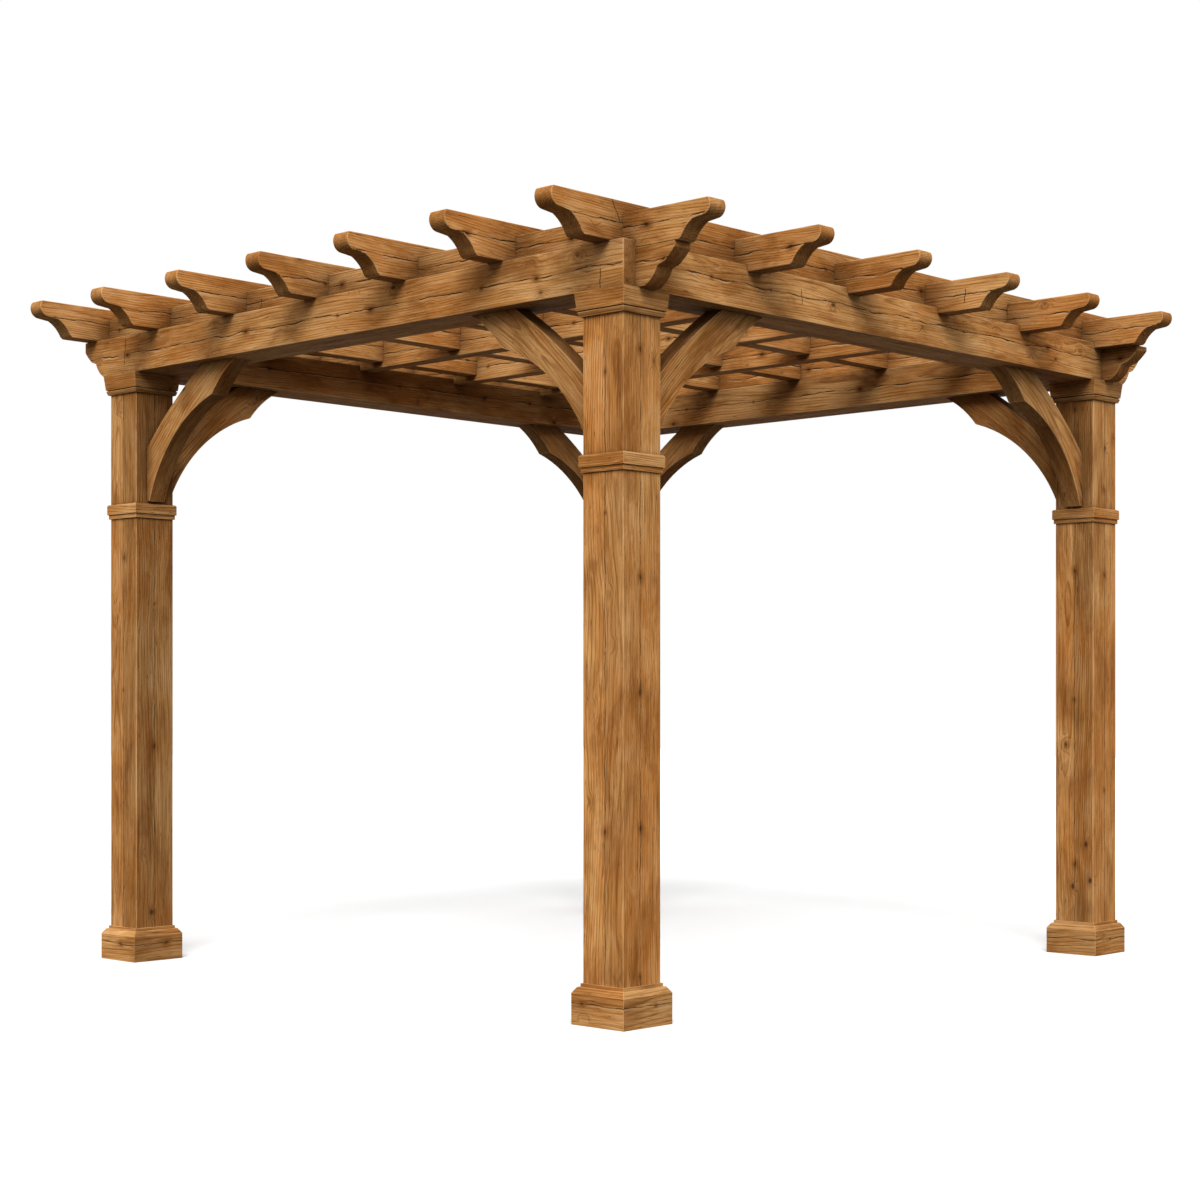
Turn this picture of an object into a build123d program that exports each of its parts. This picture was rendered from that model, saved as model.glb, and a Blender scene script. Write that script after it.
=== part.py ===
from build123d import *
import os

# Post grid, centre to centre
span_x = 2930
span_y = 2756

# Posts
post_size = 184
post_height = 2445

# Base trim round each post foot
base_width = 240
base_board_height = 106
base_bevel_run = 14
base_bevel_rise = 20
base_bead_height = 12
base_bead_proud = 6

# Capital round each post head
capital_top_width = 228
capital_width = 214
capital_height = 62
capital_bead_height = 15
capital_bead_proud = 8
capital_groove = 6

# Beams: a core plank between two cheek planks
beam_depth = 157
core_thickness = 80
cheek_thickness = 59
scroll_reach = 272

# Upper timbers, running along X over the west and east beams
rafter_count = 7
rafter_depth = 138
rafter_thickness = 80
rafter_pitch = 507
rafter_last_offset = 220
rafter_overhang = 374

# Lower timbers, running along Y and notched over the south and north beams
joist_count = 6
joist_rise = 96
joist_seat = 24
joist_thickness = 80
joist_overhang = 422
joist_last_inset = 56

# Curved braces from post to beam, with drops measured from the underside of the beam
brace_thickness = 80
brace_drop = 535
brace_foot_cut = 16
brace_shoulder_drop = 312
brace_reach = 696
brace_head = 226
brace_ledge_reach = 496
brace_ledge_drop = 144
brace_ledge_length = 42
brace_ledge_rise = 14
brace_sag = 61
brace_tip_sag = 12
brace_back_bow = 14

# Collar round each post, a small gap below the braces
collar_width = 206
collar_gap = 8
collar_band_height = 42
collar_ease = 4
collar_bead_height = 18
collar_bead_proud = 6

# Heights and faces that follow
beam_half = core_thickness / 2 + cheek_thickness
beam_top = post_height + beam_depth
beam_lap = post_height + beam_depth / 2
joist_bottom = beam_top - joist_seat
joist_top = beam_top + joist_rise
joist_depth = joist_rise + joist_seat
timber_lap = beam_top + joist_rise / 2
post_x = span_x / 2
post_y = span_y / 2
brace_foot = post_height - brace_drop
collar_top = brace_foot - collar_gap

# Outline of a timber tail, as shares of its depth: inward from the tip, down from the top
tail_nose_top = (0.07, 0.0)
tail_nose_middle = (0.0, 0.21)
tail_nose_end = (0.27, 0.47)
tail_ledge_end = (0.61, 0.51)
tail_cove_middle = (0.86, 0.69)
tail_cove_end = (1.04, 0.94)
tail_heel = (1.12, 1.0)

# Outline of a beam scroll, as shares of its depth: inward from the lip, up from the bottom
scroll_lip = (0.0, 0.73)
scroll_bulge_middle = (0.17, 0.55)
scroll_bulge_end = (0.29, 0.45)
scroll_ledge_end = (0.50, 0.38)
scroll_heel_middle = (0.62, 0.18)
scroll_heel = (0.85, 0.0)

corners = {
    "southwest": (-1, -1),
    "southeast": (1, -1),
    "northwest": (-1, 1),
    "northeast": (1, 1),
}


def block(x_range, y_range, z_range):
    size = [high - low for low, high in (x_range, y_range, z_range)]
    low_corner = (x_range[0], y_range[0], z_range[0])
    return Pos(*low_corner) * Box(*size, align=(Align.MIN, Align.MIN, Align.MIN))


def moulding(half_outline):
    right = [(half, z) for half, z in half_outline]
    left = [(-half, z) for half, z in reversed(half_outline)]
    face = make_face(Polyline(*right, *left, close=True))
    across_x = extrude(Plane.XZ * face, base_width, both=True)
    across_y = extrude(Plane.YZ * face, base_width, both=True)
    hole = extrude(Rectangle(post_size, post_size), 2 * post_height, both=True)
    return (across_x & across_y) - hole


def post():
    return extrude(Rectangle(post_size, post_size), post_height)


def base_trim():
    half = base_width / 2
    shoulder = base_board_height + base_bevel_rise
    bead = post_size / 2 + base_bead_proud
    return moulding([
        (half, 0),
        (half, base_board_height),
        (half - base_bevel_run, shoulder),
        (bead, shoulder),
        (bead, shoulder + base_bead_height),
    ])


def collar():
    half = collar_width / 2
    bead = post_size / 2 + collar_bead_proud
    band_bottom = collar_top - collar_band_height
    return moulding([
        (bead, band_bottom - collar_bead_height),
        (bead, band_bottom),
        (half, band_bottom),
        (half, collar_top - collar_ease),
        (half - collar_ease, collar_top),
    ])


def capital():
    bead = post_size / 2 + capital_bead_proud
    block_bottom = post_height - capital_height
    bead_top = block_bottom - capital_groove
    return moulding([
        (bead, bead_top - capital_bead_height),
        (bead + capital_groove, bead_top),
        (bead, block_bottom),
        (capital_width / 2, block_bottom),
        (capital_top_width / 2, post_height),
    ])


# Points of a tail at the low end of a timber, from the heel on the underside to the top
def tail_edges(tip, top, depth):
    def at(share):
        return (tip + share[0] * depth, top - share[1] * depth)

    heel = at(tail_heel)
    return Curve() + [
        Line(heel, at(tail_cove_end)),
        ThreePointArc(at(tail_cove_end), at(tail_cove_middle), at(tail_ledge_end)),
        Line(at(tail_ledge_end), at(tail_nose_end)),
        ThreePointArc(at(tail_nose_end), at(tail_nose_middle), at(tail_nose_top)),
    ], heel


def timber(half_length, top, depth, thickness):
    tail, heel = tail_edges(-half_length, top, depth)
    nose = (-half_length + tail_nose_top[0] * depth, top)
    half = tail + Line(nose, (0, top)) + Line((0, top), (0, top - depth)) + Line((0, top - depth), heel)
    face = make_face(half)
    whole = face + mirror(face, about=Plane.YZ)
    return extrude(Plane.XZ * whole, thickness / 2, both=True)


def rafter_places():
    inner = [number * rafter_pitch - post_y for number in range(rafter_count - 1)]
    return inner + [post_y + rafter_last_offset]


def joist_places():
    pitch = (span_x - joist_last_inset) / (joist_count - 1)
    return [number * pitch - post_x for number in range(joist_count)]


def rafter(y):
    bar = timber(post_x + rafter_overhang, beam_top + rafter_depth, rafter_depth, rafter_thickness)
    for x in joist_places():
        x_range = (x - joist_thickness / 2, x + joist_thickness / 2)
        bar -= block(x_range, (-rafter_thickness, rafter_thickness), (joist_bottom, timber_lap))
    return Pos(0, y, 0) * bar


def joist(x, seats):
    bar = Rot(0, 0, 90) * timber(post_y + joist_overhang, joist_top, joist_depth, joist_thickness)
    across = (-joist_thickness, joist_thickness)
    for y in rafter_places():
        y_range = (y - rafter_thickness / 2, y + rafter_thickness / 2)
        bar -= block(across, y_range, (timber_lap, 2 * joist_top))
    for y_range in seats:
        bar -= block(across, y_range, (0, beam_top))
    return Pos(x, 0, 0) * bar


# Scroll outline at the high end of a beam, from the top of the lip to the underside
def plank(start, end_axis, thickness):
    def at(share):
        return (end_axis + scroll_reach - share[0] * beam_depth, post_height + share[1] * beam_depth)

    lip = end_axis + scroll_reach
    heel = at(scroll_heel)
    edges = Curve() + [
        Line((start, post_height), (start, beam_top)),
        Line((start, beam_top), (lip, beam_top)),
        Line((lip, beam_top), at(scroll_lip)),
        ThreePointArc(at(scroll_lip), at(scroll_bulge_middle), at(scroll_bulge_end)),
        Line(at(scroll_bulge_end), at(scroll_ledge_end)),
        ThreePointArc(at(scroll_ledge_end), at(scroll_heel_middle), heel),
        Line(heel, (start, post_height)),
    ]
    return extrude(Plane.XZ * make_face(edges), thickness / 2, both=True)


# Beams along X: the core laps under the west beam's core, everything runs out east
def cross_beam_core(side):
    core_start = -post_x - core_thickness / 2
    core = plank(core_start, post_x, core_thickness)
    across = (-core_thickness, core_thickness)
    for x in (-post_x, post_x):
        x_range = (x - core_thickness / 2, x + core_thickness / 2)
        core -= block(x_range, across, (beam_lap, beam_top))
    return Pos(0, side * post_y, 0) * core


def cross_beam_cheeks(side):
    start = -post_x + core_thickness / 2
    x_range = (post_x - core_thickness / 2, post_x + core_thickness / 2)
    cheeks = []
    for face in (-1, 1):
        offset = side * post_y + face * (core_thickness + cheek_thickness) / 2
        cheek = plank(start, post_x, cheek_thickness)
        cheek -= block(x_range, (-cheek_thickness, cheek_thickness), (beam_lap, beam_top))
        cheeks.append(Pos(0, offset, 0) * cheek)
    return Compound(children=cheeks)


# Beams along Y: both ends of the core run out as scrolls
def long_beam_core(side):
    half = Rot(0, 0, 90) * plank(0, post_y, core_thickness)
    core = half + mirror(half, about=Plane.XZ)
    across = (-core_thickness, core_thickness)
    for end in (-1, 1):
        lap_range = (end * post_y - core_thickness / 2, end * post_y + core_thickness / 2)
        if side > 0:
            lap_range = (end * post_y - beam_half, end * post_y + beam_half)
        core -= block(across, lap_range, (post_height, beam_lap))
        tail_range = sorted((end * (post_y + beam_half), end * (post_y + scroll_reach)))
        core -= block(across, tail_range, (joist_bottom, beam_top))
    return Pos(side * post_x, 0, 0) * core


def inner_cheek(x):
    x_range = (x - cheek_thickness / 2, x + cheek_thickness / 2)
    y_reach = post_y - beam_half
    return block(x_range, (-y_reach, y_reach), (post_height, beam_top))


def long_beam_cheeks(side):
    offset = (core_thickness + cheek_thickness) / 2
    inner = inner_cheek(side * (post_x - offset))
    outer = inner_cheek(side * (post_x + offset))
    if side < 0:
        outer = Rot(0, 0, 90) * plank(-post_y - beam_half, post_y, cheek_thickness)
        outer = Pos(-post_x - offset, 0, 0) * outer
    return Compound(children=[inner, outer])


# Brace in the XZ plane of a post at the origin, reaching along +X
def brace():
    face_x = post_size / 2
    foot = (face_x + brace_foot_cut, brace_foot)
    ledge_height = post_height - brace_ledge_drop
    ledge = (brace_ledge_reach, ledge_height)
    ledge_end = (brace_ledge_reach + brace_ledge_length, ledge_height + brace_ledge_rise)
    tip = (brace_reach, post_height)
    back = (brace_reach - brace_head, post_height)
    shoulder = (face_x, post_height - brace_shoulder_drop)
    edges = Curve() + [
        Line((face_x, brace_foot), foot),
        SagittaArc(foot, ledge, brace_sag),
        Line(ledge, ledge_end),
        SagittaArc(ledge_end, tip, brace_tip_sag),
        Line(tip, back),
        SagittaArc(back, shoulder, -brace_back_bow),
        Line(shoulder, (face_x, brace_foot)),
    ]
    return extrude(Plane.XZ * make_face(edges), brace_thickness / 2, both=True)


def write(name, shape):
    export_step(shape, f"parts/{name}.step")


os.makedirs("parts", exist_ok=True)

turns = {"east": 0, "north": 90, "west": 180, "south": 270}
for corner, (x_side, y_side) in corners.items():
    place = Pos(x_side * post_x, y_side * post_y, 0)
    write(f"post_{corner}", place * post())
    write(f"base_trim_{corner}", place * base_trim())
    write(f"collar_{corner}", place * collar())
    write(f"capital_{corner}", place * capital())
    for heading in ("east" if x_side < 0 else "west", "north" if y_side < 0 else "south"):
        write(f"brace_{corner}_to_{heading}", place * Rot(0, 0, turns[heading]) * brace())

for name, side in (("south", -1), ("north", 1)):
    write(f"beam_{name}", cross_beam_core(side))
    write(f"beam_{name}_cheeks", cross_beam_cheeks(side))
for name, side in (("west", -1), ("east", 1)):
    write(f"beam_{name}", long_beam_core(side))
    write(f"beam_{name}_cheeks", long_beam_cheeks(side))

for number, y in enumerate(rafter_places(), 1):
    write(f"rafter_{number}", rafter(y))

end_seat = [(-post_y - beam_half, post_y + beam_half)]
cross_seats = [(side * post_y - beam_half, side * post_y + beam_half) for side in (-1, 1)]
for number, x in enumerate(joist_places(), 1):
    over_beam = number in (1, joist_count)
    write(f"joist_{number}", joist(x, end_seat if over_beam else cross_seats))
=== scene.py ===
import math
import random
from functools import partial

import bmesh
import bpy
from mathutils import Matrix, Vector


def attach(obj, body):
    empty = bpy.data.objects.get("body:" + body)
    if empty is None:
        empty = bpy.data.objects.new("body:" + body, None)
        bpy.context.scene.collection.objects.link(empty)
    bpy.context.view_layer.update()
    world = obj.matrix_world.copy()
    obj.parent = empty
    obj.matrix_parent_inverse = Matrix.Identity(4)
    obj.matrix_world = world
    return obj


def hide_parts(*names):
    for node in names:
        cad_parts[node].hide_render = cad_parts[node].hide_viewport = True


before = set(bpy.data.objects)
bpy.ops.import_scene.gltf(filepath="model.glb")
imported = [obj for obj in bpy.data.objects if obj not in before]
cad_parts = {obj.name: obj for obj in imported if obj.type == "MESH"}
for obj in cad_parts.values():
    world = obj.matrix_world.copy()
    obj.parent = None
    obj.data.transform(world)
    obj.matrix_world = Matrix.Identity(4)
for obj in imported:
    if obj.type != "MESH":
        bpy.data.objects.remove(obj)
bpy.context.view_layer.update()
print("stage: frame loaded")


# Colours are written as sRGB hex and turned linear here
def linearColour(hexColour):
    values = [int(hexColour[start:start + 2], 16) / 255 for start in (1, 3, 5)]
    return [v / 12.92 if v <= 0.04045 else ((v + 0.055) / 1.055) ** 2.4 for v in values] + [1.0]


# Adds one shader node; inputs maps each socket to a value or to the output that feeds it
def addNode(tree, kind, inputs, output=0, **settings):
    node = tree.nodes.new("ShaderNode" + kind)
    for name, value in settings.items():
        setattr(node, name, value)
    for key, value in inputs.items():
        if isinstance(value, bpy.types.NodeSocket):
            tree.links.new(value, node.inputs[key])
        else:
            node.inputs[key].default_value = value
    return node.outputs[output]


# The range of a pattern that fades out, the setting that eases a range, and the middle value of a noise
fades = {"To Min": 1.0, "To Max": 0.0}
eased = {"interpolation_type": "SMOOTHSTEP"}
noiseMiddle = 0.5

# Knots: sizes in metres, and the number of rings by which one pulls the growth lines. Only a share of the
# distance along the grain counts, which draws a knot out. A cell's draw from 0 to 1 says if it has one.
knots = {
    "cell": 0.115,
    "alongShare": 0.62,
    "radius": 0.0115,
    "solidShare": 0.3,
    "halo": 0.034,
    "noneBelow": 0.40,
    "fullAbove": 0.62,
    "ringPull": 2.4,
}


# Nearness to the closest knot, as a wide halo that pulls the growth lines and as a dark core
def knotField(add, grain):
    cell = knots["cell"]
    place = add("Mapping", {"Vector": grain, "Scale": (knots["alongShare"] / cell, 1 / cell, 1 / cell)})
    found = add("TexVoronoi", {"Vector": place, "Scale": 1.0}).node.outputs
    distance = add("Math", {0: found["Distance"], 1: cell}, operation="MULTIPLY")
    draw = add("SeparateColor", {"Color": found["Color"]})
    here = add("MapRange", {"Value": draw, "From Min": knots["noneBelow"], "From Max": knots["fullAbove"]})
    halo = add("MapRange", {"Value": distance, "From Max": knots["halo"], **fades}, **eased)
    core = add("MapRange", {"Value": distance, "From Min": knots["radius"] * knots["solidShare"],
                            "From Max": knots["radius"], **fades}, **eased)
    return [add("Math", {0: part, 1: here}, operation="MULTIPLY") for part in (halo, core)]


# Growth lines: sizes in metres, the shares of a ring at which its dark late wood starts, is full and ends,
# and the waves per metre in which the pith wanders. The middle of a brace lies at a whole period.
growth = {
    "ringSpacing": 0.0082,
    "fineRingSpacing": 0.0027,
    "ringStart": 0.50,
    "fineRingStart": 0.30,
    "full": 0.90,
    "end": 0.93,
    "wander": 0.078,
    "wanderRate": (1.1, 3.4, 3.4),
    "wanderDetail": 2.5,
    "bracePeriod": 4.0,
}
acrossGrain = (0.0, 1.0, 1.0)


# The grain of a curved brace follows its arc: a parabola about the middle of the piece
def arcGrain(add, grain, bend):
    period = growth["bracePeriod"]
    along = add("SeparateXYZ", {"Vector": grain}, "X")
    periods = add("Math", {0: along, 1: 1 / period}, operation="MULTIPLY")
    whole = add("Math", {0: periods}, operation="ROUND")
    local = add("Math", {0: whole, 1: -period, 2: along}, operation="MULTIPLY_ADD")
    square = add("Math", {0: local, 1: local}, operation="MULTIPLY")
    sag = add("Math", {0: square, 1: bend}, operation="MULTIPLY")
    lift = add("CombineXYZ", {"X": 0.0, "Y": sag, "Z": 0.0})
    return add("VectorMath", {0: grain, 1: lift}, operation="ADD")


# The grain bent by a slow wander of the pith along the timber
def bentGrain(add, grain):
    place = add("Mapping", {"Vector": grain, "Scale": growth["wanderRate"]})
    wander = add("TexNoise", {"Vector": place, "Scale": 1.0, "Detail": growth["wanderDetail"]}, "Color")
    reach = [growth["wander"] * share for share in acrossGrain]
    return add("VectorMath", {0: wander, 1: reach, 2: grain}, operation="MULTIPLY_ADD")


# Growth lines: dark late wood at the outer side of each ring round the pith
def growthLines(add, bent, pull, spacing, start):
    flat = add("VectorMath", {0: bent, 1: acrossGrain}, operation="MULTIPLY")
    radius = add("VectorMath", {0: flat}, "Value", operation="LENGTH")
    turns = add("Math", {0: radius, 1: 1 / spacing, 2: pull}, operation="MULTIPLY_ADD")
    share = add("Math", {0: turns}, operation="FRACT")
    rise = add("MapRange", {"Value": share, "From Min": start, "From Max": growth["full"]}, **eased)
    fall = add("MapRange", {"Value": share, "From Min": growth["end"], "From Max": 1.0, **fades})
    return add("Math", {0: rise, 1: fall}, operation="MULTIPLY")


# Drying cracks: sizes in metres and rates in waves per metre. A pair says where a part starts and ends:
# edge and open as shares of the crack's width, knotEdge and ringEdge as shares of a small knot's radius.
crack = {
    "wander": 0.026,
    "wanderRate": 5.0,
    "wanderDetail": 6.0,
    "wanderRoughness": 0.62,
    "halfWidth": 0.0013,
    "widthRate": 9.0,
    "widthDetail": 3.0,
    "widthRoughness": 0.6,
    "widthNoise": (0.36, 0.66),
    "widthShares": (0.2, 2.0),
    "edge": (0.5, 1.3),
    "open": (0.3, 1.1),
    "faintest": 0.35,
    "knotSpacing": 0.40,
    "knotRadius": 0.0095,
    "knotAlongShare": 0.6,
    "knotEdge": (0.35, 1.1),
    "ringEdge": (0.6, 3.4),
    "ringStrength": 0.75,
    "bruise": 0.009,
    "bruiseStrength": 0.34,
    "lip": (0.001, 0.011),
    "lipStrength": 0.42,
}


# A drying crack along the face, thin and jogging, with small knots strung on it and a paler lip below
def dryingCrack(add, seam):
    across, run, strength = add("SeparateXYZ", {"Vector": seam}).node.outputs
    wave = add("TexNoise", {"W": run, "Scale": crack["wanderRate"], "Detail": crack["wanderDetail"],
                            "Roughness": crack["wanderRoughness"]}, "Fac", noise_dimensions="1D")
    wave = add("Math", {0: wave, 1: noiseMiddle}, operation="SUBTRACT")
    wave = add("Math", {0: wave, 1: strength}, operation="MULTIPLY")
    offset = add("Math", {0: wave, 1: crack["wander"], 2: across}, operation="MULTIPLY_ADD")
    distance = add("Math", {0: offset}, operation="ABSOLUTE")
    below = add("Math", {0: offset, 1: 0.0}, operation="LESS_THAN")

    # The dark gap, fainter where it is narrow
    spread = add("TexNoise", {"W": run, "Scale": crack["widthRate"], "Detail": crack["widthDetail"],
                              "Roughness": crack["widthRoughness"]}, "Fac", noise_dimensions="1D")
    (least, most), (narrow, wide) = crack["widthNoise"], crack["widthShares"]
    spread = add("MapRange", {"Value": spread, "From Min": least, "From Max": most, "To Min": narrow,
                              "To Max": wide})
    width = add("Math", {0: spread, 1: crack["halfWidth"]}, operation="MULTIPLY")
    near = add("Math", {0: distance, 1: width}, operation="DIVIDE")
    start, end = crack["edge"]
    gap = add("MapRange", {"Value": near, "From Min": start, "From Max": end, **fades})
    start, end = crack["open"]
    openness = add("MapRange", {"Value": spread, "From Min": start, "From Max": end,
                                "To Min": crack["faintest"]})
    gap = add("Math", {0: gap, 1: openness}, operation="MULTIPLY")

    # Small knots of many sizes, each with a bruised ring
    spacing = crack["knotSpacing"]
    beads = add("Math", {0: run, 1: 1 / spacing}, operation="MULTIPLY")
    bead = add("TexVoronoi", {"W": beads, "Scale": 1.0}, voronoi_dimensions="1D").node.outputs
    size = add("SeparateColor", {"Color": bead["Color"]})
    size = add("Math", {0: size, 1: crack["knotRadius"]}, operation="MULTIPLY")
    along = add("Math", {0: bead["Distance"], 1: spacing * crack["knotAlongShare"]}, operation="MULTIPLY")
    span = add("CombineXYZ", {"X": along, "Y": distance, "Z": 0.0})
    span = add("VectorMath", {0: span}, "Value", operation="LENGTH")
    span = add("Math", {0: span, 1: size}, operation="DIVIDE")
    start, end = crack["knotEdge"]
    knot = add("MapRange", {"Value": span, "From Min": start, "From Max": end, **fades}, **eased)
    start, end = crack["ringEdge"]
    ring = add("MapRange", {"Value": span, "From Min": start, "From Max": end,
                            "To Min": crack["ringStrength"], "To Max": 0.0}, **eased)

    # Wood is darker beside the crack, and catches the light on the lip below its wide stretches
    bruise = add("MapRange", {"Value": distance, "From Max": crack["bruise"],
                              "To Min": crack["bruiseStrength"], "To Max": 0.0}, **eased)
    bruise = add("Math", {0: bruise, 1: ring}, operation="MAXIMUM")
    start, end = crack["lip"]
    lip = add("MapRange", {"Value": distance, "From Min": start, "From Max": end,
                           "To Min": crack["lipStrength"], "To Max": 0.0}, **eased)
    wideBelow = add("Math", {0: below, 1: spread}, operation="MULTIPLY")
    lip = add("Math", {0: lip, 1: wideBelow}, operation="MULTIPLY", use_clamp=True)
    parts = {"gap": gap, "crackKnot": knot, "bruise": bruise, "lip": lip}
    parts = {name: add("Math", {0: part, 1: strength}, operation="MULTIPLY") for name, part in parts.items()}
    return parts, below


# Short checks: sizes in metres, waves over half a check, and the share of that half where it thins out
checkLook = {
    "wander": 0.010,
    "wanderRate": 1.3,
    "wanderDetail": 3.0,
    "edge": (0.0008, 0.0024),
    "thinFrom": 0.75,
}


# Short check lines across the grain, where the timber has split at a joint
def shortCheck(add, across, run):
    wave = add("TexNoise", {"W": run, "Scale": checkLook["wanderRate"], "Detail": checkLook["wanderDetail"]},
               "Fac", noise_dimensions="1D")
    wave = add("Math", {0: wave, 1: noiseMiddle}, operation="SUBTRACT")
    offset = add("Math", {0: wave, 1: checkLook["wander"], 2: across}, operation="MULTIPLY_ADD")
    distance = add("Math", {0: offset}, operation="ABSOLUTE")
    start, end = checkLook["edge"]
    line = add("MapRange", {"Value": distance, "From Min": start, "From Max": end, **fades})
    reach = add("Math", {0: run}, operation="ABSOLUTE")
    ends = add("MapRange", {"Value": reach, "From Min": checkLook["thinFrom"], "From Max": 1.0, **fades})
    return add("Math", {0: line, 1: ends}, operation="MULTIPLY")


# Noise drawn out along the grain: length and width in metres, then detail, roughness and distortion
drawnNoises = {
    "fibre": (0.15, 0.0036, 3.0, 0.62, 0.0),
    "streak": (0.38, 0.016, 3.0, 0.62, 0.0),
    "dash": (0.060, 0.0065, 2.0, 0.5, 0.0),
    "blotch": (0.30, 0.12, 4.0, 0.6, 0.5),
    "wash": (0.75, 0.26, 3.0, 0.55, 0.3),
}
# Soft changes of colour, which don't follow the wander of the pith
straightNoises = ("blotch", "wash")

# Short dark dashes come from the peaks of their noise
dashPeaks = {"From Min": 0.67, "From Max": 0.75}
# Growth lines are weaker on light streaks, and the pale eased edges, wear with a painted highlight, are
# weaker on dark blotches
ringStrength = {"From Min": 0.32, "From Max": 0.62, "To Min": 0.74, "To Max": 0.26}
edgeWearAndHighlightStrength = {"From Min": 0.35, "From Max": 0.60, "To Min": 0.55, "To Max": 0.12}
# Painted shade: corners that see little of the open air are darkened in the colour, but not down by the
# ground; lengths are in metres
paintedCornerShade = {
    "reach": 0.20,
    "strength": {"From Min": 0.35, "From Max": 0.95, "To Min": 0.85, "To Max": 0.0},
    "height": {"From Min": 0.1, "From Max": 0.4},
}


# The softwood's patterns by name, among them painted shade in corners, and the brightness of the face, which
# carries its painted shade
def timberPatterns(add):
    grain, seam, mark, tone = [add("Attribute", {}, "Vector", attribute_name=word)
                               for word in ("grain", "seam", "mark", "tone")]
    checkAcross, checkRun, endGrain = add("SeparateXYZ", {"Vector": mark}).node.outputs
    # The face's brightness carries painted shade on undersides, inner and south faces
    faceBrightness, step, easedEdge = add("SeparateXYZ", {"Vector": tone}).node.outputs
    grain = arcGrain(add, grain, add("Attribute", {}, "Fac", attribute_name="bend"))
    bent = bentGrain(add, grain)

    patterns, below = dryingCrack(add, seam)
    patterns["endGrain"] = endGrain
    patterns["check"] = shortCheck(add, checkAcross, checkRun)
    patterns["halo"], patterns["core"] = knotField(add, grain)
    pull = add("Math", {0: patterns["halo"], 1: knots["ringPull"]}, operation="MULTIPLY")
    for name in ("ring", "fineRing"):
        patterns[name] = growthLines(add, bent, pull, growth[name + "Spacing"], growth[name + "Start"])
    for name, (length, width, detail, roughness, distortion) in drawnNoises.items():
        place = add("Mapping", {"Vector": grain if name in straightNoises else bent,
                                "Scale": (1 / length, 1 / width, 1 / width)})
        patterns[name] = add("TexNoise", {"Vector": place, "Scale": 1.0, "Detail": detail,
                                          "Roughness": roughness, "Distortion": distortion}, "Fac")
    patterns["dash"] = add("MapRange", {"Value": patterns["dash"], **dashPeaks})
    strength = add("MapRange", {"Value": patterns["streak"], **ringStrength})
    patterns["ringLine"] = add("Math", {0: patterns["ring"], 1: strength}, operation="MULTIPLY")
    # The pale line on eased edges: wear, and a painted highlight along each arris
    strength = add("MapRange", {"Value": patterns["blotch"], **edgeWearAndHighlightStrength})
    patterns["edgeWearAndHighlight"] = add("Math", {0: easedEdge, 1: strength}, operation="MULTIPLY")
    # Painted shade: the colour darkens where little open air is seen, in corners and between timbers, but
    # not near the floor
    openAir = add("AmbientOcclusion", {"Distance": paintedCornerShade["reach"]}, "AO", samples=2)
    strength = add("MapRange", {"Value": openAir, **paintedCornerShade["strength"]})
    height = add("SeparateXYZ", {"Vector": add("TexCoord", {}, "Object")}, "Z")
    aboveGround = add("MapRange", {"Value": height, **paintedCornerShade["height"]})
    patterns["paintedCornerShade"] = add("Math", {0: strength, 1: aboveGround}, operation="MULTIPLY")

    # The step in tone lies half on each side of the crack
    side = add("Math", {0: below, 1: 0.5}, operation="SUBTRACT")
    brightness = add("Math", {0: side, 1: step, 2: faceBrightness}, operation="MULTIPLY_ADD")
    return patterns, brightness


# Layers of colour in the wood: the pattern, where it starts and is full, the strength there and the colour
woodLayers = (
    ("streak", 0.34, 0.64, 1.0, "light"),
    ("wash", 0.42, 0.62, 0.62, "amber"),
    ("blotch", 0.48, 0.66, 0.68, "stain"),
    ("blotch", 0.46, 0.32, 0.35, "pale"),
    ("ringLine", 0.0, 1.0, 1.0, "late"),
    ("fineRing", 0.0, 1.0, 0.20, "late"),
    ("fibre", 0.50, 0.70, 0.50, "late"),
    ("fibre", 0.46, 0.30, 0.36, "pale"),
    ("halo", 0.0, 1.0, 0.5, "late"),
    ("lip", 0.0, 1.0, 1.0, "pale"),
    ("bruise", 0.0, 1.0, 1.0, "late"),
)
# Layers that keep their colour however bright the face is, among them the pale eased edges (wear and a
# painted highlight) and the painted shade in corners
faceLayers = (
    ("endGrain", 0.0, 1.0, 0.24, "endGrain"),
    ("edgeWearAndHighlight", 0.0, 1.0, 1.0, "pale"),
    ("paintedCornerShade", 0.0, 1.0, 1.0, "paintedCornerShade"),
    ("core", 0.0, 1.0, 0.80, "crack"),
    ("crackKnot", 0.0, 1.0, 0.76, "crack"),
    ("gap", 0.0, 1.0, 0.92, "crack"),
    ("check", 0.0, 1.0, 0.85, "crack"),
    ("dash", 0.0, 1.0, 0.60, "crack"),
)


# Lays colours over the body colour, one after the other
def withLayers(add, body, layers, patterns, colours):
    for pattern, start, full, strength, colour in layers:
        share = add("MapRange", {"Value": patterns[pattern], "From Min": start, "From Max": full,
                                 "To Max": strength})
        body = add("Mix", {0: share, 6: body, 7: colours[colour]}, 2, data_type="RGBA")
    return body


# The wood's surface: relief in metres, where late wood, fibres and cracks lie low and streaks stand up,
# and a sunk-in oil that leaves it dull, a little less so on the light streaks
surface = {
    "relief": {"fibre": -0.0006, "ring": -0.0005, "streak": 0.0008, "gap": -0.004, "check": -0.003,
               "core": -0.001, "dash": -0.001},
    "reliefStrength": 0.8,
    "roughness": {"From Min": 0.3, "From Max": 0.7, "To Min": 0.90, "To Max": 0.74},
    "specular": 0.04,
}
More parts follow.
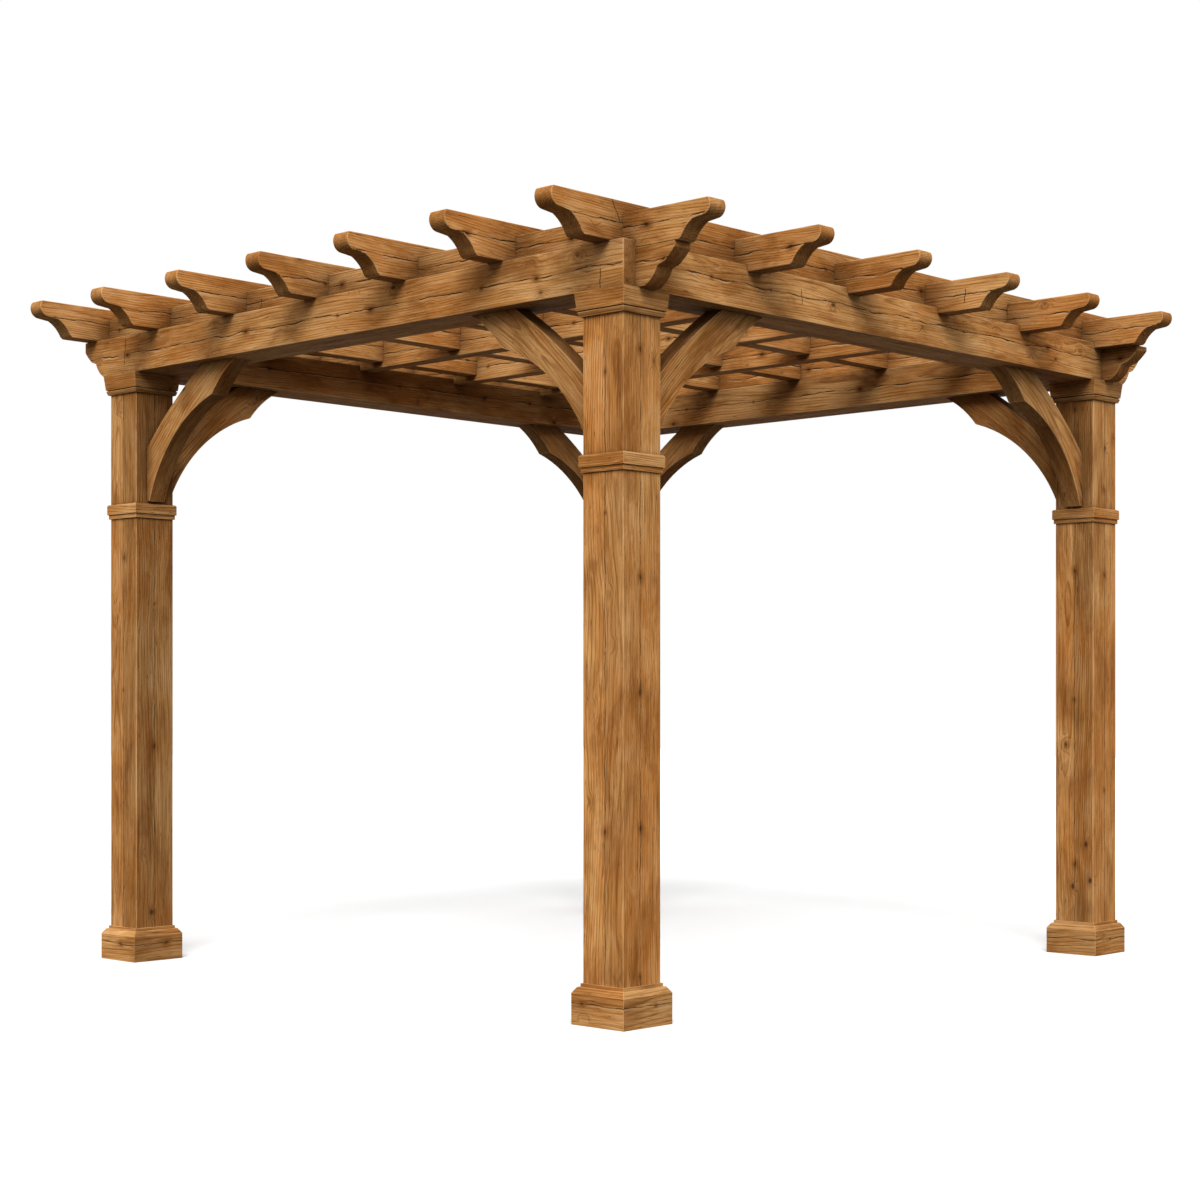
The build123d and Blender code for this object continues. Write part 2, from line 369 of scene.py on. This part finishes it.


# Oiled softwood timber. Gives the eye honey-brown boards with dark growth lines, knots and drying cracks,
# with painted shade in corners, on undersides and on inner and south faces, and pale eased edges that are
# partly a painted highlight. The grain attribute runs x along the timber and y, z across it; the others say
# where a face cracks, where its edges wear and take a painted highlight, and how bright it is with its
# painted shade.
def makeTimber(name, colours):
    material = bpy.data.materials.new(name)
    material.use_nodes = True
    tree = material.node_tree
    shader = tree.nodes["Principled BSDF"]
    add = partial(addNode, tree)
    patterns, brightness = timberPatterns(add)

    body = withLayers(add, colours["mid"], woodLayers, patterns, colours)
    # The face's brightness, which carries its painted shade, darkens the body colour
    grey = add("CombineXYZ", {axis: brightness for axis in "XYZ"})
    body = add("Mix", {0: 1.0, 6: body, 7: grey}, 2, data_type="RGBA", blend_type="MULTIPLY")
    body = withLayers(add, body, faceLayers, patterns, colours)
    tree.links.new(body, shader.inputs["Base Color"])

    height = 0.0
    for pattern, depth in surface["relief"].items():
        height = add("Math", {0: patterns[pattern], 1: depth, 2: height}, operation="MULTIPLY_ADD")
    bump = add("Bump", {"Strength": surface["reliefStrength"], "Distance": 1.0, "Height": height})
    tree.links.new(bump, shader.inputs["Normal"])
    dull = add("MapRange", {"Value": patterns["streak"], **surface["roughness"]})
    tree.links.new(dull, shader.inputs["Roughness"])
    shader.inputs["Specular IOR Level"].default_value = surface["specular"]
    return material


timberColours = {name: linearColour(value) for name, value in {
    "light": "#D2A066",
    "mid": "#B98144",
    "amber": "#B06823",
    "stain": "#824D1E",
    "late": "#6E3E16",
    "pale": "#E2B47C",
    "endGrain": "#74461F",
    # painted shade in corners and between timbers
    "paintedCornerShade": "#361F0B",
    "crack": "#29170A",
}.items()}
timber = makeTimber("oiled_softwood", timberColours)
print("stage: materials made")


# The separate solids of one mesh, as sets of vertices, in the order of their first vertex
def islandsOf(work):
    left = set(work.verts)
    islands = []
    for seed in work.verts:
        if seed not in left:
            continue
        left.discard(seed)
        island = {seed}
        stack = [seed]
        while stack:
            for edge in stack.pop().link_edges:
                for vertex in edge.verts:
                    if vertex in left:
                        left.discard(vertex)
                        island.add(vertex)
                        stack.append(vertex)
        islands.append(island)
    return islands


# Unit vectors along the grain, up the face and through the timber
def grainAxes(name):
    east, north, up = Vector((1, 0, 0)), Vector((0, 1, 0)), Vector((0, 0, 1))
    if name.startswith("post"):
        return up, east, north
    if name.startswith(("rafter", "beam_south", "beam_north")):
        return east, up, north
    if name.startswith(("joist", "beam_west", "beam_east")):
        return north, up, east
    return None


# The same for a brace, which climbs from its post towards the middle of the frame
def braceAxes(low, high):
    size, middle = high - low, (low + high) / 2
    if size.x > size.y:
        through = Vector((0, 1, 0))
        along = Vector((-math.copysign(size.x, middle.x), 0, size.z)).normalized()
    else:
        through = Vector((1, 0, 0))
        along = Vector((0, -math.copysign(size.y, middle.y), size.z)).normalized()
    return along, along.cross(through), through


# Trims change grain direction with the face: each of their boards runs level round the post
def boardAxes(normal):
    through = Vector((1, 0, 0)) if abs(normal.x) > abs(normal.y) else Vector((0, 1, 0))
    return Vector((0, 0, 1)).cross(through), Vector((0, 0, 1)), through


# How much brighter than the rest a piece or family is drawn, where beam_south's lift is painted light on a
# beam whose scroll end lies in shade; by how much pieces of one family may differ; and the painted shade
# that darkens undersides, inner faces and south faces
tonesAndPaintedShade = {
    "toneAndPaintedLight": {
        "rafter": 0.11,
        "joist": 0.06,
        "beam": 0.05,
        "base": -0.02,
        "post": 0.06,
        "brace": -0.08,
        "post_northwest": -0.08,
        "post_southeast": 0.11,
        # Painted light: lifts beam_south, whose scroll end lies in shade
        "beam_south": 0.25,
    },
    "spread": 0.06,
    # Painted shade on undersides, on faces turned to the middle of the frame and on south faces
    "underside": 0.42,
    "inner": {"post": 0.24, "collar": 0.24, "capital": 0.24, "base": 0.24, "beam": 0.34},
    "south": {"post": 0.07, "collar": 0.07, "capital": 0.07, "base": 0.16},
}


# How bright one face is drawn: its tone, darkened by painted shade on undersides, on faces turned to the
# middle of the frame and on south faces
def faceToneAndPaintedShade(name, family, face, pieceTone):
    middle = face.calc_center_median()
    inward = -Vector((middle.x, middle.y, 0)).normalized().dot(face.normal)
    shades = ((tonesAndPaintedShade["underside"], -face.normal.z), (tonesAndPaintedShade["inner"].get(family, 0.0), inward),
              (tonesAndPaintedShade["south"].get(family, 0.0), -face.normal.y))
    toneAndPaintedLight = 1.0 + pieceTone + tonesAndPaintedShade["toneAndPaintedLight"].get(name, tonesAndPaintedShade["toneAndPaintedLight"].get(family, 0.0))
    return toneAndPaintedLight - sum(shade * max(0.0, facing) for shade, facing in shades)


# Short checks seen in the photograph: place along the grain, slope, lowest and highest point, in metres.
# Where a timber has two, the first is in its west or south half.
shortChecks = {
    "beam_west_cheeks": ((-1.372, 0.0, 2.440, 2.520), (1.363, 0.10, 2.470, 2.597)),
    "beam_south_cheeks": ((-0.62, 0.1, 2.50, 2.56), (1.52, 0.0, 2.445, 2.530)),
    "rafter_1": ((-1.515, 0.55, 2.665, 2.745), (0.8, 0.1, 2.60, 2.68)),
    "joist_1": ((0.52, 0.1, 2.60, 2.66),),
    "joist_4": ((-1.60, 0.1, 2.60, 2.66),),
}
farFromCheck = (1.0, 9.0)


# Where a point of a face lies on the timber's short check: across it, and from -1 to 1 along it
def checkPlace(name, face, along, point):
    checks = shortChecks.get(name, ())
    if not checks:
        return farFromCheck
    second = len(checks) > 1 and face.calc_center_median().dot(along) > 0
    spot, slope, bottom, top = checks[int(second)]
    across = point.dot(along) - spot + slope * (point.z - bottom)
    return across, (2 * point.z - top - bottom) / (top - bottom)


# How the grain lies in a timber, in metres. A crack has a strength, and a step in tone across it. The last
# four compare a face's normal with the timber's axes: a side faces through it, and an end along it.
grainPlan = {
    "alongReach": 40,
    "pithUp": (0.06, 0.15),
    "pithThrough": (0.04, 0.12),
    "bracePeriods": 9,
    "braceBend": 0.32,
    "boardShift": 7.0,
    "crackShift": Vector((3.7, 5.3, 0)),
    "crackStray": 0.010,
    "crackStrength": {"post": 0.75, "base": 0.72},
    "uncracked": ("brace", "collar", "capital"),
    "step": 0.05,
    "postSteps": {"eastWest": -0.25, "northSouth": -0.07},
    "sideFrom": 0.8,
    "levelBelow": 0.3,
    "endFrom": 0.25,
    "endRise": 1.2,
}


# Writes the grain, seam, mark and tone of each face corner, and the bend of a brace's grain
def writeGrain(work, name, rng, easedEdge):
    layers = {word: work.loops.layers.float_vector.new(word) for word in ("grain", "seam", "mark", "tone")}
    bendLayer = work.loops.layers.float.new("bend")
    family = name.split("_")[0]
    isPost = family == "post"
    isBrace = family == "brace"
    for island in islandsOf(work):
        shift = Vector((rng.uniform(-grainPlan["alongReach"], grainPlan["alongReach"]),
                        rng.uniform(*grainPlan["pithUp"]) * rng.choice((-1, 1)),
                        rng.uniform(*grainPlan["pithThrough"]) * rng.choice((-1, 1))))
        low, high = [Vector([pick(vertex.co[axis] for vertex in island) for axis in range(3)])
                     for pick in (min, max)]
        middle = (low + high) / 2
        axes = braceAxes(low, high) if isBrace else grainAxes(name)
        bend = 0.0
        if isBrace:
            outward = Vector((middle.x, middle.y, 0)).dot(axes[1])
            bend = math.copysign(grainPlan["braceBend"], outward)
            periods = rng.randint(-grainPlan["bracePeriods"], grainPlan["bracePeriods"])
            shift.x = growth["bracePeriod"] * periods
        stray = rng.uniform(-1, 1) * grainPlan["crackStray"]
        pieceTone = rng.uniform(-1, 1) * tonesAndPaintedShade["spread"]
        for face in {face for vertex in island for face in vertex.link_faces}:
            normal = face.normal
            along, up, through = axes or boardAxes(normal)
            board = 0 if axes else abs(round(normal.x))
            faceShift = shift + Vector((grainPlan["boardShift"] * board, 0, 0))
            crackStart = shift.x + grainPlan["crackShift"].dot(normal)
            run = abs(normal.dot(along))
            sideways = abs(normal.dot(through)) > grainPlan["sideFrom"]
            openFace = sideways or isPost and run < grainPlan["levelBelow"]
            cracked = openFace and family not in grainPlan["uncracked"]
            strength = grainPlan["crackStrength"].get(family, 1.0) if cracked else 0.0
            step = grainPlan["step"]
            if isPost:
                step = grainPlan["postSteps"]["northSouth" if sideways else "eastWest"]
            # The face's brightness carries its painted shade and, for beam_south, painted light
            tone = Vector((faceToneAndPaintedShade(name, family, face, pieceTone), step if cracked else 0.0,
                           float(face in easedEdge)))
            endGrain = 0.0 if run < grainPlan["endFrom"] else min(1.0, run * grainPlan["endRise"])
            for loop in face.loops:
                place = loop.vert.co - middle
                inGrain = Vector((place.dot(along), place.dot(up), place.dot(through)))
                across = inGrain.z if isPost and not sideways else inGrain.y
                checked = checkPlace(name, face, along, loop.vert.co) if sideways else farFromCheck
                loop[layers["grain"]] = inGrain + faceShift
                loop[layers["seam"]] = Vector((across - stray, inGrain.x + crackStart, strength))
                loop[layers["mark"]] = Vector((*checked, endGrain))
                loop[layers["tone"]] = tone
                loop[bendLayer] = bend


# How a timber's copy is cleaned and its edges eased, in metres and radians
dressing = {
    "mergeDistance": 0.00005,
    "flatAngle": math.radians(0.6),
    "sharpAngle": math.radians(30),
    "edgeRadius": 0.0035,
    "fineEdgeRadius": 0.0014,
    "edgeSteps": 2,
    "roundProfile": 0.5,
    "firstSeed": 100,
}


# A copy of one CAD node with eased edges, standing for it
def dressNode(name, node, seed):
    mesh = node.data.copy()
    mesh.name = name + "_timber"
    piece = bpy.data.objects.new(name + "_timber", mesh)
    bpy.context.scene.collection.objects.link(piece)
    mesh.materials.clear()
    work = bmesh.new()
    work.from_mesh(mesh)
    bmesh.ops.remove_doubles(work, verts=work.verts, dist=dressing["mergeDistance"])
    bmesh.ops.dissolve_limit(work, angle_limit=dressing["flatAngle"], verts=work.verts, edges=work.edges)
    if len(shortChecks.get(name, ())) > 1:
        bmesh.ops.bisect_plane(work, geom=work.verts[:] + work.edges[:] + work.faces[:],
                               plane_co=(0, 0, 0), plane_no=grainAxes(name)[0])
    bmesh.ops.recalc_face_normals(work, faces=work.faces)
    arrises = [edge for edge in work.edges if edge.is_manifold
               and edge.calc_face_angle_signed(0) > dressing["sharpAngle"]]
    fine = name.startswith(("collar", "capital", "base"))
    radius = dressing["fineEdgeRadius"] if fine else dressing["edgeRadius"]
    rounded = bmesh.ops.bevel(work, geom=arrises, offset=radius, offset_type="OFFSET", affect="EDGES",
                              segments=dressing["edgeSteps"], profile=dressing["roundProfile"],
                              clamp_overlap=True, material=-1)
    for face in work.faces:
        face.smooth = True
    for edge in work.edges:
        edge.smooth = not edge.is_manifold or edge.calc_face_angle(0) < dressing["sharpAngle"]
    writeGrain(work, name, random.Random(seed), set(rounded["faces"]))
    work.to_mesh(mesh)
    work.free()
    mesh.materials.append(timber)
    even = piece.modifiers.new("even shading", "WEIGHTED_NORMAL")
    even.keep_sharp = True
    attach(piece, "root")
    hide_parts(name)


for number, (name, node) in enumerate(sorted(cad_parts.items())):
    dressNode(name, node, dressing["firstSeed"] + number)
print("stage: timbers dressed")

# The photograph's standpoint: metres, radians from the x axis, millimetres, and a share of the frame
cameraView = {
    "place": (-6.8646, -6.4064, 1.083),
    "yaw": 0.7597,
    "lens": 66.21,
    "sensor": 36,
    "shiftY": 0.0836,
}
cameraData = bpy.data.cameras.new("camera")
camera = bpy.data.objects.new("camera", cameraData)
bpy.context.scene.collection.objects.link(camera)
camera.location = cameraView["place"]
camera.rotation_euler = (math.pi / 2, 0, cameraView["yaw"] - math.pi / 2)
cameraData.lens = cameraView["lens"]
cameraData.sensor_width = cameraView["sensor"]
cameraData.shift_y = cameraView["shiftY"]
bpy.context.scene.camera = camera


# One where the camera, a reflection or a clear material looks, so that all three see the pale backdrop
def showsBackdrop(add):
    rays = add("LightPath", {}).node.outputs
    straight = add("Math", {0: rays["Is Camera Ray"], 1: rays["Is Glossy Ray"]}, operation="MAXIMUM")
    return add("Math", {0: straight, 1: rays["Is Transmission Ray"]}, operation="MAXIMUM")


# Pale paper for the floor. Gives the eye a matt, near-white ground, and is darker to the light that
# bounces up under the roof.
floorLook = {
    "size": 60,
    "seen": linearColour("#F8F8F8"),
    "bounced": linearColour("#4E4941"),
    "roughness": 0.9,
    "specular": 0.0,
}
bpy.ops.mesh.primitive_plane_add(size=floorLook["size"])
floor = bpy.context.object
floor.name = "floor"
pale = bpy.data.materials.new("pale_paper")
pale.use_nodes = True
addPale = partial(addNode, pale.node_tree)
floorColour = addPale("Mix", {0: showsBackdrop(addPale), 6: floorLook["bounced"], 7: floorLook["seen"]}, 2,
                      data_type="RGBA")
paleInputs = pale.node_tree.nodes["Principled BSDF"].inputs
pale.node_tree.links.new(floorColour, paleInputs["Base Color"])
paleInputs["Roughness"].default_value = floorLook["roughness"]
paleInputs["Specular IOR Level"].default_value = floorLook["specular"]
floor.data.materials.append(pale)

# The sky that lights the part, the backdrop that shows behind it, and a soft sun; angles are in radians
studio = {"sky": 0.80, "backdrop": 1.0, "sun": 3.1, "sunAngle": 0.6, "sunTurn": (0.80, 0.05, -0.90)}
white = linearColour("#FFFFFF")
world = bpy.data.worlds.new("studio")
bpy.context.scene.world = world
world.use_nodes = True
addWorld = partial(addNode, world.node_tree)
lit = addWorld("Background", {"Color": white, "Strength": studio["sky"]})
seen = addWorld("Background", {"Color": white, "Strength": studio["backdrop"]})
sky = addWorld("MixShader", {0: showsBackdrop(addWorld), 1: lit, 2: seen})
world.node_tree.links.new(sky, world.node_tree.nodes["World Output"].inputs["Surface"])
bpy.context.scene.view_settings.view_transform = "Standard"

sunData = bpy.data.lights.new("soft_sun", "SUN")
sunData.energy = studio["sun"]
sunData.angle = studio["sunAngle"]
sun = bpy.data.objects.new("soft_sun", sunData)
sun.rotation_euler = studio["sunTurn"]
bpy.context.scene.collection.objects.link(sun)
print("stage: studio ready")
